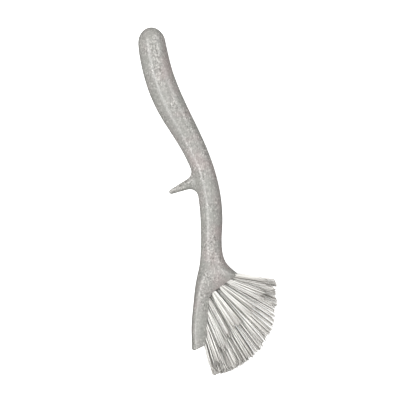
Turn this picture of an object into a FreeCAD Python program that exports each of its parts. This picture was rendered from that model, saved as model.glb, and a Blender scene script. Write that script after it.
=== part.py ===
"""Dish brush: a moulded handle with a rest spur, and bristle tufts held by flat wire anchors.

Drawing frame while the pieces are built: the origin is the middle of the neck where it meets the
head, X points to the bristles, Y runs up the neck to the grip, and Z is across the brush with its
plane of symmetry at Z = 0. At the end every piece is moved so that the brush lies on its side on
Z = 0, with the origin under the middle of its box.
"""
import FreeCAD
import Part
import Sketcher
import math
import os
from FreeCAD import Placement, Rotation, Vector

SIZES = {
    # Spine of the handle, from the head up to the domed end of the grip.
    "neck_length": 21.6,
    "shoulder_radius": 120.0,
    "shoulder_angle": 29.0,
    "stem_length": 24.3,
    "grip_radius": 138.0,
    "grip_angle": 21.6,
    # Handle sections: thickness is seen from the side, width is across the brush.
    "neck_thickness": 15.8,
    "neck_width": 16.6,
    "shoulder_thickness": 16.0,
    "shoulder_width": 17.0,
    "waist_thickness": 17.6,
    "waist_width": 18.8,
    "stem_thickness": 19.0,
    "stem_width": 20.8,
    "palm_thickness": 20.8,
    "palm_width": 23.0,
    "upper_thickness": 21.0,
    "upper_width": 23.4,
    "butt_thickness": 19.8,
    "butt_width": 22.0,
    "dome_height": 11.9,
    # Rest spur on the back of the stem: run out from the stem, thickness and width of each section.
    "spur_root_back": 11.4,
    "spur_root_rise": 51.3,
    "spur_droop": 24.0,
    "spur_sunk_run": -4.0,
    "spur_sunk_thickness": 9.7,
    "spur_sunk_width": 8.2,
    "spur_middle_run": 8.0,
    "spur_middle_thickness": 6.6,
    "spur_middle_width": 5.6,
    "spur_end_run": 19.0,
    "spur_end_thickness": 3.5,
    "spur_end_width": 3.2,
    "spur_tip_height": 1.9,
    "spur_root_round": 6.0,
    # Head sections: drop below the neck, reach to the back and to the front, width of the crown.
    "flare_drop": 8.0,
    "flare_back": 8.5,
    "flare_front": 10.8,
    "flare_crown": 21.0,
    "heel_drop": 15.0,
    "heel_back": 9.85,
    "heel_front": 18.3,
    "heel_crown": 30.0,
    "upper_drop": 24.0,
    "upper_back": 11.65,
    "upper_front": 27.0,
    "upper_crown": 44.0,
    "middle_drop": 40.0,
    "middle_back": 13.4,
    "middle_front": 30.0,
    "middle_crown": 60.0,
    "lower_drop": 58.0,
    "lower_back": 14.5,
    "lower_front": 30.0,
    "lower_crown": 66.0,
    "foot_drop": 78.0,
    "foot_back": 16.0,
    "foot_front": 29.0,
    "foot_crown": 66.0,
    "head_width": 24.0,
    "toe_edge_round": 1.0,
    "back_edge_round": 3.2,
    # Hollow bristle face: heel line, rounded elbow, toe line, and the slanted end of the toe.
    "face_heel_front": 18.4,
    "face_heel_drop": 15.9,
    "face_elbow_back": 1.4,
    "face_elbow_drop": 29.9,
    "face_elbow_radius": 8.7,
    "face_toe_back": 4.7,
    "face_toe_drop": 66.4,
    "toe_slant": 26.5,
    "rim_bevel_depth": 3.4,
    "rim_bevel_width": 2.2,
    # Tuft layout on the face, measured along the face from the heel.
    "tuft_first_run": 2.2,
    "tuft_pitch": 5.6,
    "tuft_pitch_growth": 0.72,
    "tuft_heel_lean": 4.5,
    "tuft_elbow_lean": 58.0,
    "tuft_elbow_run": 22.5,
    "tuft_toe_lean": 75.5,
    "tuft_toe_run": 59.3,
    "column_pitch": 4.0,
    "column_splay": 0.9,
    # Tufts, their holes and their anchors.
    "hole_diameter": 2.8,
    "hole_depth": 6.0,
    "hole_clearance": 0.05,
    "strand_diameter": 1.15,
    "strand_ring": 0.8,
    "strand_splay": 2.2,
    "root_rise": 4.2,
    "strand_overlap": 0.6,
    "centre_tuft_length": 60.0,
    "middle_tuft_length": 60.0,
    "outer_tuft_length": 29.0,
    "anchor_length": 3.4,
    "anchor_height": 1.6,
    "anchor_thickness": 0.4,
    "anchor_lift": 0.6,
    # Trimmed outline of the bristles, a rounded barrel.
    "trim_back": 5.4,
    "trim_drop": 36.8,
    "trim_radius": 53.0,
    "trim_crown": 21.0,
}

COLUMNS = ("a", "b", "c", "d", "e")
OUTER_ROWS = 8
STRAND_COUNT = 6
STRAND_SIDES = 5
PLUG_SIDES = 10
HOLE_SIDE_OVERRUN = 8.0
CUT_REACH = 70.0


class Drawing:
    """Holds the document, its sheet of sizes and the helpers that bind features to the sheet."""

    def __init__(self) -> None:
        self.doc = FreeCAD.newDocument("dish_brush")
        self.sheet = self.doc.addObject("Spreadsheet::Sheet", "Dims")
        for row, (alias, value) in enumerate(SIZES.items(), start=1):
            self.sheet.set(f"A{row}", alias)
            self.sheet.set(f"B{row}", str(value))
            self.sheet.setAlias(f"B{row}", alias)
        self.doc.recompute()

    def size(self, alias: str) -> float:
        """Reads one size from the sheet."""
        return float(self.sheet.get(alias))

    def number(self, formula: str) -> float:
        """Works out a formula of sheet sizes as a plain number."""
        result = self.sheet.evalExpression(formula)
        return float(getattr(result, "Value", result))

    def add(self, kind: str, name: str, bound: dict):
        """Adds a feature and binds its properties to formulas of sheet sizes."""
        item = self.doc.addObject(kind, name)
        for prop, formula in bound.items():
            item.setExpression(prop, formula)
        return item


class BodyMaker:
    """Adds sketches and features to one body, on that body's own planes."""

    def __init__(self, drawing: Drawing, name: str) -> None:
        self.drawing = drawing
        self.body = drawing.doc.addObject("PartDesign::Body", name)
        self.planes = {item.Role: item for item in self.body.Origin.OriginFeatures}

    def sketch(self, name: str, plane: str):
        """Adds an empty sketch that lies on one of the body's planes."""
        sketch = self.body.newObject("Sketcher::SketchObject", name)
        sketch.AttachmentSupport = [(self.planes[plane], "")]
        sketch.MapMode = "FlatFace"
        return sketch

    def place(self, item, offset: dict, turn: str) -> None:
        """Binds an attached item's offset in its plane and its turn about the plane's own Y."""
        item.AttachmentOffset = Placement(Vector(0, 0, 0), Rotation(Vector(0, 1, 0), 0))
        for axis, formula in offset.items():
            item.setExpression(f"AttachmentOffset.Base.{axis}", formula)
        item.setExpression("AttachmentOffset.Rotation.Axis.x", "0")
        item.setExpression("AttachmentOffset.Rotation.Axis.y", "1")
        item.setExpression("AttachmentOffset.Rotation.Axis.z", "0")
        item.setExpression("AttachmentOffset.Rotation.Angle", turn)

    def ellipse(self, name: str, plane: str, thickness: str, width: str, offset: dict, turn: str):
        """Adds an ellipse section, its width along the sketch's own Y, that is across the brush."""
        sketch = self.sketch(name, plane)
        half_width = self.drawing.number(width) / 2
        half_thickness = self.drawing.number(thickness) / 2
        ends = [Vector(0, half_width, 0), Vector(half_thickness, 0, 0)]
        long_axis = "Vertical"
        sizes = [("width", width, 2 * half_width), ("thickness", thickness, 2 * half_thickness)]
        if half_thickness > half_width:
            ends.reverse()
            sizes.reverse()
            long_axis = "Horizontal"
        sketch.addGeometry(Part.Ellipse(ends[0], ends[1], Vector(0, 0, 0)), False)
        sketch.exposeInternalGeometry(0)
        sketch.addConstraint(Sketcher.Constraint("Coincident", 0, 3, -1, 1))
        sketch.addConstraint(Sketcher.Constraint(long_axis, 1))
        for axis, (label, formula, value) in enumerate(sizes, start=1):
            name_distance(sketch, Sketcher.Constraint("Distance", axis, value), label, formula)
        self.place(sketch, offset, turn)
        return sketch

    def half_ellipsoid(self, name: str, plane: str, radii: tuple, offset: dict, turn: str):
        """Adds a half ellipsoid on the lower side of a plane, to round off the end of a loft."""
        dome = self.body.newObject("PartDesign::AdditiveEllipsoid", name)
        dome.AttachmentSupport = [(self.planes[plane], "")]
        dome.MapMode = "FlatFace"
        self.place(dome, offset, turn)
        dome.Angle1 = -90
        dome.Angle2 = 0
        for prop, formula in zip(("Radius1", "Radius2", "Radius3"), radii):
            dome.setExpression(prop, formula)
        return dome

    def loft(self, name: str, sections: list):
        """Adds a smooth loft through sections in order."""
        loft = self.body.newObject("PartDesign::AdditiveLoft", name)
        loft.Profile = sections[0]
        loft.Sections = sections[1:]
        return loft

    def pocket(self, name: str, sketch):
        """Adds a pocket that cuts to both sides of a sketch, right through the body."""
        pocket = self.body.newObject("PartDesign::Pocket", name)
        pocket.Profile = sketch
        pocket.Type = "ThroughAll"
        pocket.Midplane = True
        return pocket

    def edge_feature(self, kind: str, name: str, wanted, bound: dict):
        """Rounds or bevels the edges of the last feature that pass a test."""
        self.drawing.doc.recompute()
        base = self.body.Tip
        names = [f"Edge{n}" for n, edge in enumerate(base.Shape.Edges, start=1) if wanted(edge)]
        if not names:
            raise RuntimeError(f"{name}: no edge passes its test")
        item = self.body.newObject(kind, name)
        item.Refine = False
        item.Base = (base, names)
        for prop, formula in bound.items():
            item.setExpression(prop, formula)
        return item


def name_distance(sketch, constraint, name: str, formula: str) -> None:
    """Adds a named constraint and binds it to a formula of sheet sizes."""
    index = sketch.addConstraint(constraint)
    sketch.renameConstraint(index, name)
    sketch.setExpression(f"Constraints.{name}", formula)


def pin_point(sketch, geometry: int, point: int, name: str, along: str, up: str, value: tuple) -> None:
    """Fixes a sketch point at a distance along and up from the sketch's origin."""
    across = Sketcher.Constraint("DistanceX", -1, 1, geometry, point, value[0])
    name_distance(sketch, across, f"{name}_along", along)
    rise = Sketcher.Constraint("DistanceY", -1, 1, geometry, point, value[1])
    name_distance(sketch, rise, f"{name}_up", up)


class Handle:
    """The moulded handle: grip, stem, spur, neck and head, with its tuft holes."""

    def __init__(self, drawing: Drawing) -> None:
        self.drawing = drawing
        self.maker = BodyMaker(drawing, "handle_moulding")

    def spine(self) -> list:
        """Lists the handle sections up the spine as name, x, y, turn, thickness and width."""
        turn = "Dims.shoulder_angle * 1deg"
        bend_x = "-Dims.shoulder_radius * (1 - cos({0} * Dims.shoulder_angle * 1deg))"
        bend_y = "Dims.neck_length + Dims.shoulder_radius * sin({0} * Dims.shoulder_angle * 1deg)"
        stem_x = f"({bend_x.format(1)} - {{0}} * Dims.stem_length * sin({turn}))"
        stem_y = f"({bend_y.format(1)} + {{0}} * Dims.stem_length * cos({turn}))"
        left = "(Dims.shoulder_angle - {0} * Dims.grip_angle)"
        grip_x = f"({stem_x.format(1)} - Dims.grip_radius * (cos({left} * 1deg) - cos({turn})))"
        grip_y = f"({stem_y.format(1)} + Dims.grip_radius * (sin({turn}) - sin({left} * 1deg)))"
        rows = [
            ("neck_end", "0", "0", "0", "neck"),
            ("neck_top", "0", "Dims.neck_length", "0", "neck"),
            ("shoulder", bend_x.format(0.5), bend_y.format(0.5), "0.5 * Dims.shoulder_angle", "shoulder"),
            ("waist", bend_x.format(1), bend_y.format(1), "Dims.shoulder_angle", "waist"),
            ("stem", stem_x.format(0.5), stem_y.format(0.5), "Dims.shoulder_angle", "stem"),
            ("palm", grip_x.format(0.1), grip_y.format(0.1), left.format(0.1), "palm"),
            ("upper", grip_x.format(0.55), grip_y.format(0.55), left.format(0.55), "upper"),
            ("butt", grip_x.format(1), grip_y.format(1), left.format(1), "butt"),
        ]
        return rows

    def build(self):
        """Builds the moulding without its tuft holes."""
        maker = self.maker
        sections = []
        for level in ("foot", "lower", "middle", "upper", "heel", "flare"):
            depth = f"Dims.{level}_front + Dims.{level}_back"
            offset = {"x": f"(Dims.{level}_front - Dims.{level}_back) / 2", "z": f"Dims.{level}_drop"}
            crown = f"Dims.{level}_crown"
            sections.append(maker.ellipse(f"head_{level}", "XZ_Plane", depth, crown, offset, "0"))
        for name, along, up, turn, part in self.spine():
            offset = {"x": along, "z": f"-1 * ({up})"}
            thickness = f"Dims.{part}_thickness"
            width = f"Dims.{part}_width"
            sections.append(maker.ellipse(f"grip_{name}", "XZ_Plane", thickness, width, offset, turn))
        maker.loft("handle_loft", sections)
        self.cut_face()
        self.cut_flats()
        tip = self.add_spur()
        name, along, up, turn, part = self.spine()[-1]
        radii = ("Dims.dome_height", "Dims.butt_thickness / 2", "Dims.butt_width / 2")
        maker.half_ellipsoid("grip_dome", "XZ_Plane", radii, {"x": along, "z": f"-1 * ({up})"}, turn)
        radii = ("Dims.spur_tip_height", "Dims.spur_end_thickness / 2", "Dims.spur_end_width / 2")
        maker.half_ellipsoid("spur_tip", "YZ_Plane", radii, tip, "Dims.spur_droop")
        return maker.body

    def add_spur(self) -> dict:
        """Adds the drooping rest spur and rounds the corner where it grows out of the stem.

        Returns:
            The offset of its end, where the round tip goes on.
        """
        along = "-Dims.spur_root_back - {0} * cos(Dims.spur_droop * 1deg)"
        up = "Dims.spur_root_rise - {0} * sin(Dims.spur_droop * 1deg)"
        sections = []
        for part in ("sunk", "middle", "end"):
            run = f"Dims.spur_{part}_run"
            offset = {"z": along.format(run), "x": up.format(run)}
            thickness = f"Dims.spur_{part}_thickness"
            width = f"Dims.spur_{part}_width"
            section = self.maker.ellipse(f"spur_{part}", "YZ_Plane", thickness, width, offset,
                                         "Dims.spur_droop")
            sections.append(section)
        self.maker.loft("spur_loft", sections)
        root = Vector(-self.drawing.size("spur_root_back"), self.drawing.size("spur_root_rise"), 0)
        reach = self.drawing.size("spur_sunk_thickness")

        def at_root(edge) -> bool:
            """Tells whether an edge closes on itself round the root of the spur."""
            return edge.Closed and all((point - root).Length < reach for point in edge.discretize(9))

        self.maker.edge_feature("PartDesign::Fillet", "spur_root_fillet", at_root,
                                {"Radius": "Dims.spur_root_round"})
        return offset

    def cut_face(self) -> None:
        """Cuts the hollow bristle face and the slanted end of the toe in one pocket."""
        size = self.drawing.size
        sketch = self.maker.sketch("bristle_face_sketch", "XY_Plane")
        heel = Vector(size("face_heel_front"), -size("face_heel_drop"), 0)
        elbow = Vector(-size("face_elbow_back"), -size("face_elbow_drop"), 0)
        toe = Vector(-size("face_toe_back"), -size("face_toe_drop"), 0)
        slope = math.tan(math.radians(size("toe_slant")))
        left = Vector(-CUT_REACH / 2, toe.y - slope * (CUT_REACH / 2 + toe.x), 0)
        to_heel = (heel - elbow).normalize()
        to_toe = (toe - elbow).normalize()
        half_angle = to_heel.getAngle(to_toe) / 2
        trim = size("face_elbow_radius") / math.tan(half_angle)
        arc_toe = elbow + to_toe * trim
        arc_heel = elbow + to_heel * trim
        middle = (to_heel + to_toe).normalize()
        centre = elbow + middle * (size("face_elbow_radius") / math.sin(half_angle))
        beyond = heel + to_heel * (CUT_REACH / 3)
        far_top = Vector(CUT_REACH, beyond.y, 0)
        far_low = Vector(CUT_REACH, -2 * CUT_REACH, 0)
        left_low = Vector(left.x, far_low.y, 0)
        lines = [(left, toe), (toe, arc_toe), (arc_heel, beyond), (beyond, far_top),
                 (far_top, far_low), (far_low, left_low), (left_low, left)]
        for start, end in lines:
            sketch.addGeometry(Part.LineSegment(start, end), False)
        circle = Part.Circle(centre, Vector(0, 0, 1), size("face_elbow_radius"))
        spread = math.pi - 2 * half_angle
        facing = math.atan2(-middle.y, -middle.x)
        elbow_arc = sketch.addGeometry(
            Part.ArcOfCircle(circle, facing - spread / 2, facing + spread / 2), False)
        elbow_point = sketch.addGeometry(Part.Point(elbow), True)
        heel_point = sketch.addGeometry(Part.Point(heel), True)
        for first, second in ((0, 1), (2, 3), (3, 4), (4, 5), (5, 6), (6, 0)):
            sketch.addConstraint(Sketcher.Constraint("Coincident", first, 2, second, 1))
        sketch.addConstraint(Sketcher.Constraint("Tangent", 1, 2, elbow_arc, 2))
        sketch.addConstraint(Sketcher.Constraint("Tangent", elbow_arc, 1, 2, 1))
        name_distance(sketch, Sketcher.Constraint("Radius", elbow_arc, size("face_elbow_radius")),
                      "elbow_radius", "Dims.face_elbow_radius")
        pin_point(sketch, 0, 2, "toe", "-Dims.face_toe_back", "-Dims.face_toe_drop", (toe.x, toe.y))
        pin_point(sketch, elbow_point, 1, "elbow", "-Dims.face_elbow_back", "-Dims.face_elbow_drop",
                  (elbow.x, elbow.y))
        pin_point(sketch, heel_point, 1, "heel", "Dims.face_heel_front", "-Dims.face_heel_drop",
                  (heel.x, heel.y))
        sketch.addConstraint(Sketcher.Constraint("PointOnObject", elbow_point, 1, 1))
        sketch.addConstraint(Sketcher.Constraint("PointOnObject", elbow_point, 1, 2))
        sketch.addConstraint(Sketcher.Constraint("PointOnObject", heel_point, 1, 2))
        slant = Sketcher.Constraint("Angle", -1, 1, 0, 1, math.radians(size("toe_slant")))
        name_distance(sketch, slant, "toe_slant", "Dims.toe_slant")
        sketch.addConstraint(Sketcher.Constraint("Horizontal", 3))
        sketch.addConstraint(Sketcher.Constraint("Vertical", 4))
        sketch.addConstraint(Sketcher.Constraint("Horizontal", 5))
        sketch.addConstraint(Sketcher.Constraint("Vertical", 6))
        sketch.addConstraint(Sketcher.Constraint("DistanceX", 0, 1, -1, 1, -left.x))
        sketch.addConstraint(Sketcher.Constraint("DistanceX", -1, 1, 4, 1, far_top.x))
        sketch.addConstraint(Sketcher.Constraint("DistanceY", 4, 2, -1, 1, -far_low.y))
        sketch.addConstraint(Sketcher.Constraint("DistanceX", -1, 1, 2, 2, beyond.x))
        self.maker.pocket("bristle_face_pocket", sketch)

    def cut_flats(self) -> None:
        """Cuts the flat sides of the head, bevels the rim, then rounds the back and the toe."""
        size = self.drawing.size
        maker = self.maker
        sketch = maker.sketch("side_flats_sketch", "YZ_Plane")
        half = size("head_width") / 2
        low = -size("foot_drop") - CUT_REACH / 2
        for side, name in ((1, "near"), (-1, "far")):
            corners = [Vector(low, side * half, 0), Vector(0, side * half, 0),
                       Vector(0, side * CUT_REACH, 0), Vector(low, side * CUT_REACH, 0)]
            first = sketch.GeometryCount
            for start, end in zip(corners, corners[1:] + corners[:1]):
                sketch.addGeometry(Part.LineSegment(start, end), False)
            for step in range(4):
                after = first + (step + 1) % 4
                sketch.addConstraint(Sketcher.Constraint("Coincident", first + step, 2, after, 1))
            for step in (0, 2):
                sketch.addConstraint(Sketcher.Constraint("Horizontal", first + step))
                sketch.addConstraint(Sketcher.Constraint("Vertical", first + step + 1))
            level = Sketcher.Constraint("DistanceY", -1, 1, first, 1, side * half)
            name_distance(sketch, level, f"{name}_flat", f"{side} * Dims.head_width / 2")
            sketch.addConstraint(Sketcher.Constraint("DistanceX", -1, 1, first, 1, low))
            sketch.addConstraint(Sketcher.Constraint("PointOnObject", first, 2, -2))
            outer = Sketcher.Constraint("DistanceY", -1, 1, first + 2, 1, side * CUT_REACH)
            sketch.addConstraint(outer)
        maker.pocket("side_flats_pocket", sketch)

        def on_flat(point) -> bool:
            """Tells whether a point lies on one of the two flat sides."""
            return abs(abs(point.z) - half) < 0.01

        def on_toe_end(point) -> bool:
            """Tells whether a point lies on the slanted end face of the toe."""
            slope = math.tan(math.radians(size("toe_slant")))
            line = -size("face_toe_drop") + slope * (point.x + size("face_toe_back"))
            return abs(point.y - line) < 0.01

        def on_bristle_side(point) -> bool:
            """Tells whether a point lies on the bristle face, within a small margin."""
            return abs(Layout.distance_to_face(self.drawing, point)) < 0.02

        def all_points(edge, test) -> bool:
            """Tells whether the ends and the middle of an edge all pass a test."""
            return not edge.Degenerated and all(test(point) for point in edge.discretize(3))

        def off_face(edge) -> bool:
            """Tells whether the middle of an edge is well away from the bristle face and the toe."""
            middle = edge.discretize(3)[1]
            clear = Layout.distance_to_face(self.drawing, middle) > 1.5 * size("rim_bevel_depth")
            return clear and not on_toe_end(middle)

        bevel = maker.edge_feature("PartDesign::Chamfer", "bristle_rim_bevel",
                                   lambda edge: all_points(edge, on_flat)
                                   and all_points(edge, on_bristle_side),
                                   {"Size": "Dims.rim_bevel_depth", "Size2": "Dims.rim_bevel_width"})
        bevel.ChamferType = "Two distances"
        maker.edge_feature("PartDesign::Fillet", "back_edge_fillet",
                           lambda edge: all_points(edge, on_flat) and off_face(edge),
                           {"Radius": "Dims.back_edge_round"})
        maker.edge_feature("PartDesign::Fillet", "toe_edge_fillet",
                           lambda edge: all_points(edge, on_flat) and all_points(edge, on_toe_end),
                           {"Radius": "Dims.toe_edge_round"})


class Layout:
    """Where each tuft leaves the bristle face and which way it points."""

    def __init__(self, drawing: Drawing) -> None:
        self.drawing = drawing

    @staticmethod
    def corners(drawing: Drawing) -> tuple:
        """Gives the heel corner, the elbow and the toe corner of the bristle face."""
        size = drawing.size
        heel = Vector(size("face_heel_front"), -size("face_heel_drop"), 0)
        elbow = Vector(-size("face_elbow_back"), -size("face_elbow_drop"), 0)
        toe = Vector(-size("face_toe_back"), -size("face_toe_drop"), 0)
        return heel, elbow, toe

    @staticmethod
    def path(drawing: Drawing):
        """Builds the face line from the heel round the elbow to the toe, as a wire."""
        heel, elbow, toe = Layout.corners(drawing)
        to_heel = (heel - elbow).normalize()
        to_toe = (toe - elbow).normalize()
        half_angle = to_heel.getAngle(to_toe) / 2
        radius = drawing.size("face_elbow_radius")
        trim = radius / math.tan(half_angle)
        middle = (to_heel + to_toe).normalize()
        centre = elbow + middle * (radius / math.sin(half_angle))
        heel_end = elbow + to_heel * trim
        toe_end = elbow + to_toe * trim
        arc = Part.Arc(heel_end, centre - middle * radius, toe_end)
        return Part.Wire([Part.makeLine(heel, heel_end), arc.toShape(), Part.makeLine(toe_end, toe)])

    @staticmethod
    def distance_to_face(drawing: Drawing, point) -> float:
        """Gives how far a point, seen from the side, is from the face line."""
        flat = Part.Vertex(Vector(point.x, point.y, 0))
        return Layout.path(drawing).distToShape(flat)[0]

    def point_at(self, run: float):
        """Gives the point of the face line at a distance from the heel."""
        left = run
        edges = Layout.path(self.drawing).Edges
        for edge in edges[:-1]:
            if left <= edge.Length:
                return edge.valueAt(edge.getParameterByLength(left))
            left -= edge.Length
        last = edges[-1]
        return last.valueAt(last.getParameterByLength(left))

    def lean_at(self, run: float) -> float:
        """Gives how far a tuft at this run points below the level, in degrees."""
        size = self.drawing.size
        if run < size("tuft_elbow_run"):
            share = run / size("tuft_elbow_run")
            return size("tuft_heel_lean") + share * (size("tuft_elbow_lean") - size("tuft_heel_lean"))
        share = (run - size("tuft_elbow_run")) / (size("tuft_toe_run") - size("tuft_elbow_run"))
        return size("tuft_elbow_lean") + share * (size("tuft_toe_lean") - size("tuft_elbow_lean"))

    def placement(self, column: int, row: float) -> Placement:
        """Gives a tuft's frame: origin on the face, Z out along the tuft, X across the brush."""
        size = self.drawing.size
        growth = size("tuft_pitch_growth") * row * (row - 1) / 2
        run = size("tuft_first_run") + size("tuft_pitch") * row + growth
        root = self.point_at(run)
        side = column - (len(COLUMNS) - 1) / 2
        root.z = side * size("column_pitch")
        lean = math.radians(self.lean_at(run))
        splay = math.radians(side * size("column_splay"))
        level = Vector(math.cos(lean), -math.sin(lean), 0)
        out = level * math.cos(splay) + Vector(0, 0, 1) * math.sin(splay)
        across = Vector(0, 0, 1) * math.cos(splay) - level * math.sin(splay)
        turn = Rotation(across, out.cross(across), out, "ZXY")
        return Placement(root, turn)

    def places(self) -> list:
        """Lists every tuft as its column number, its row number and its placement."""
        found = []
        for column in range(len(COLUMNS)):
            staggered = column % 2 == 1
            count = OUTER_ROWS - 1 if staggered else OUTER_ROWS
            for index in range(count):
                row = index + 0.5 if staggered else index
                found.append((column, index + 1, self.placement(column, row)))
        return found


class Bristles:
    """The tuft, hole and anchor masters, and their copies at every place of the layout."""

    def __init__(self, drawing: Drawing, layout: Layout) -> None:
        self.drawing = drawing
        self.places = layout.places()
        self.anchor = self.anchor_master()
        self.hole = self.hole_master()
        self.trim = drawing.add("Part::Ellipsoid", "trim_barrel", {
            "Radius1": "Dims.trim_crown", "Radius2": "Dims.trim_radius", "Radius3": "Dims.trim_radius",
            "Placement.Base.x": "-Dims.trim_back", "Placement.Base.y": "-Dims.trim_drop"})

    def anchor_master(self):
        """Makes the flat wire anchor that a tuft is folded over."""
        return self.drawing.add("Part::Box", "anchor_master", {
            "Length": "Dims.anchor_length", "Width": "Dims.anchor_thickness",
            "Height": "Dims.anchor_height",
            "Placement.Base.x": "-Dims.anchor_length / 2",
            "Placement.Base.y": "-Dims.anchor_thickness / 2",
            "Placement.Base.z": "Dims.anchor_lift - Dims.hole_depth"})

    def hole_master(self):
        """Makes the tool for one blind hole, with the notches that the anchor bites in its wall."""
        drill = self.drawing.add("Part::Cylinder", "hole_drill", {
            "Radius": "Dims.hole_diameter / 2", "Height": f"Dims.hole_depth + {HOLE_SIDE_OVERRUN}",
            "Placement.Base.z": "-Dims.hole_depth"})
        hole = self.drawing.add("Part::Fuse", "hole_master", {})
        hole.Base = drill
        hole.Tool = self.anchor
        return hole

    def tuft_master(self, name: str, length: str):
        """Makes one tuft: a folded root in the hole and strands that splay from it."""
        drawing = self.drawing
        plug = drawing.add("Part::Prism", f"{name}_root", {
            "Circumradius": "Dims.hole_diameter / 2 - Dims.hole_clearance",
            "Height": "Dims.hole_depth + Dims.root_rise - Dims.hole_clearance",
            "Placement.Base.z": "Dims.hole_clearance - Dims.hole_depth"})
        plug.Polygon = PLUG_SIDES
        pieces = [plug]
        start = Vector(0, 0, drawing.size("root_rise") - drawing.size("strand_overlap"))
        for index in range(STRAND_COUNT + 1):
            strand = drawing.add("Part::Prism", f"{name}_strand_{index}", {
                "Circumradius": "Dims.strand_diameter / 2",
                "Height": f"{length} - Dims.root_rise + Dims.strand_overlap"})
            strand.Polygon = STRAND_SIDES
            if index < STRAND_COUNT:
                turn = Rotation(Vector(0, 0, 1), 360.0 * index / STRAND_COUNT)
                out = turn.multVec(Vector(drawing.size("strand_ring"), 0, 0))
                lean = Rotation(turn.multVec(Vector(0, 1, 0)), drawing.size("strand_splay"))
                strand.Placement = Placement(start + out, lean.multiply(turn))
            else:
                strand.Placement = Placement(start, Rotation())
            pieces.append(strand)
        bundle = drawing.add("Part::MultiFuse", f"{name}_bundle", {})
        bundle.Shapes = pieces
        tuft = drawing.add("Part::Cut", name, {})
        tuft.Base = bundle
        tuft.Tool = self.anchor
        return tuft

    def copy(self, master, name: str, place: Placement):
        """Links a master at a tuft's placement."""
        link = self.drawing.doc.addObject("App::Link", name)
        link.LinkedObject = master
        link.LinkTransform = True
        link.Placement = place
        return link

    def holes(self):
        """Gathers all the hole tools in one compound."""
        copies = [self.copy(self.hole, f"hole_{COLUMNS[column]}{row}", place)
                  for column, row, place in self.places]
        tool = self.drawing.add("Part::Compound", "hole_tools", {})
        tool.Links = copies
        return tool

    def tufts(self) -> list:
        """Makes every tuft, trimmed to the rounded outline."""
        masters = [self.tuft_master("tuft_centre", "Dims.centre_tuft_length"),
                   self.tuft_master("tuft_middle", "Dims.middle_tuft_length"),
                   self.tuft_master("tuft_outer", "Dims.outer_tuft_length")]
        centre = (len(COLUMNS) - 1) // 2
        made = []
        for column, row, place in self.places:
            label = f"bristle_tuft_{COLUMNS[column]}{row}"
            tuft = self.drawing.add("Part::Common", label, {})
            tuft.Base = self.copy(masters[abs(column - centre)], f"{label}_whole", place)
            tuft.Tool = self.trim
            tuft.Label = label
            made.append(tuft)
        return made

    def anchors(self) -> list:
        """Makes the anchors, one group of separate wires for each column of tufts."""
        made = []
        for number, letter in enumerate(COLUMNS):
            label = f"tuft_anchors_{letter}"
            group = self.drawing.add("Part::Compound", label, {})
            group.Links = [self.copy(self.anchor, f"anchor_{letter}{row}", place)
                           for column, row, place in self.places if column == number]
            group.Label = label
            made.append(group)
        return made


def check(item) -> None:
    """Stops the build when an object has failed or holds no valid solid."""
    bad = [state for state in item.State if state in ("Invalid", "Error")]
    if bad or item.Shape.isNull() or not item.Shape.isValid() or not item.Shape.Solids:
        raise RuntimeError(f"{item.Label}: not a valid solid, state {item.State}")


def box_of(items: list):
    """Measures the box round all the pieces from their own surfaces."""
    box = FreeCAD.BoundBox()
    for item in items:
        points, _ = item.Shape.tessellate(0.02)
        for point in points:
            box.add(point)
    return box


def main() -> None:
    """Builds every piece, moves it to the shared frame and writes its file."""
    os.makedirs("parts", exist_ok=True)
    drawing = Drawing()
    handle_body = Handle(drawing).build()
    drawing.doc.recompute()
    check(handle_body)
    bristles = Bristles(drawing, Layout(drawing))
    handle = drawing.add("Part::Cut", "handle", {})
    handle.Base = handle_body
    handle.Tool = bristles.holes()
    handle.Label = "handle"
    pieces = [handle] + bristles.tufts() + bristles.anchors()
    drawing.doc.recompute()
    for piece in pieces:
        check(piece)
    box = box_of(pieces)
    shift = Vector(-box.Center.x, -box.Center.y, -box.ZMin)
    for piece in pieces:
        piece.Placement = Placement(shift, Rotation())
        piece.Shape.exportStep(f"parts/{piece.Label}.step")
    print(f"pieces {len(pieces)}, box {box.XLength:.2f} x {box.YLength:.2f} x {box.ZLength:.2f}")
    print(f"shift {shift.x:.3f} {shift.y:.3f} {shift.z:.3f}")


main()
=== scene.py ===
"""Dresses the dish brush: a speckled composite handle with fanned tufts of off-white filaments.

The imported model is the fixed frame, in metres. The brush lies on its flank: +X is the side that
the bristles point to, +Y runs to the grip's butt and +Z points up from the floor. Sizes are in
millimetres, unless a docstring says otherwise.
"""

import logging
import math
from dataclasses import dataclass, field
from enum import Enum

import bmesh
import bpy
from bpy.types import Material, Node, NodeOutputs, NodeSocket, NodeTree, Object
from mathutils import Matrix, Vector

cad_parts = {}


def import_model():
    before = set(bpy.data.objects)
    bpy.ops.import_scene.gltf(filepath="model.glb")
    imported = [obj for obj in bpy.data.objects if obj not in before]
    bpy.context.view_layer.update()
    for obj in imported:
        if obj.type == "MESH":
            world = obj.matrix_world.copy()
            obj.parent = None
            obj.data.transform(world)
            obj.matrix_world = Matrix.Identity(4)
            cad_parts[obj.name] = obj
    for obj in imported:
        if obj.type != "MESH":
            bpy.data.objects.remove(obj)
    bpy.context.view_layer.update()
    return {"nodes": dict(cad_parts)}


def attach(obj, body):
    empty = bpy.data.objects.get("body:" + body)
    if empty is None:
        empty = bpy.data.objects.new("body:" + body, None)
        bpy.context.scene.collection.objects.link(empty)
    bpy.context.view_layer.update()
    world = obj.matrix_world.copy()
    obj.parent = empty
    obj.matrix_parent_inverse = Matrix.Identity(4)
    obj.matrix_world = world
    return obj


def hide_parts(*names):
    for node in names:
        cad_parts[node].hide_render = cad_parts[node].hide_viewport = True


LOG = logging.getLogger("dish_brush")
MM = 0.001
BODY = "root"
COLUMNS = "abcde"
UP = Vector((0.0, 0.0, 1.0))
GOLDEN_ANGLE = math.pi * (3 - math.sqrt(5))
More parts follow.
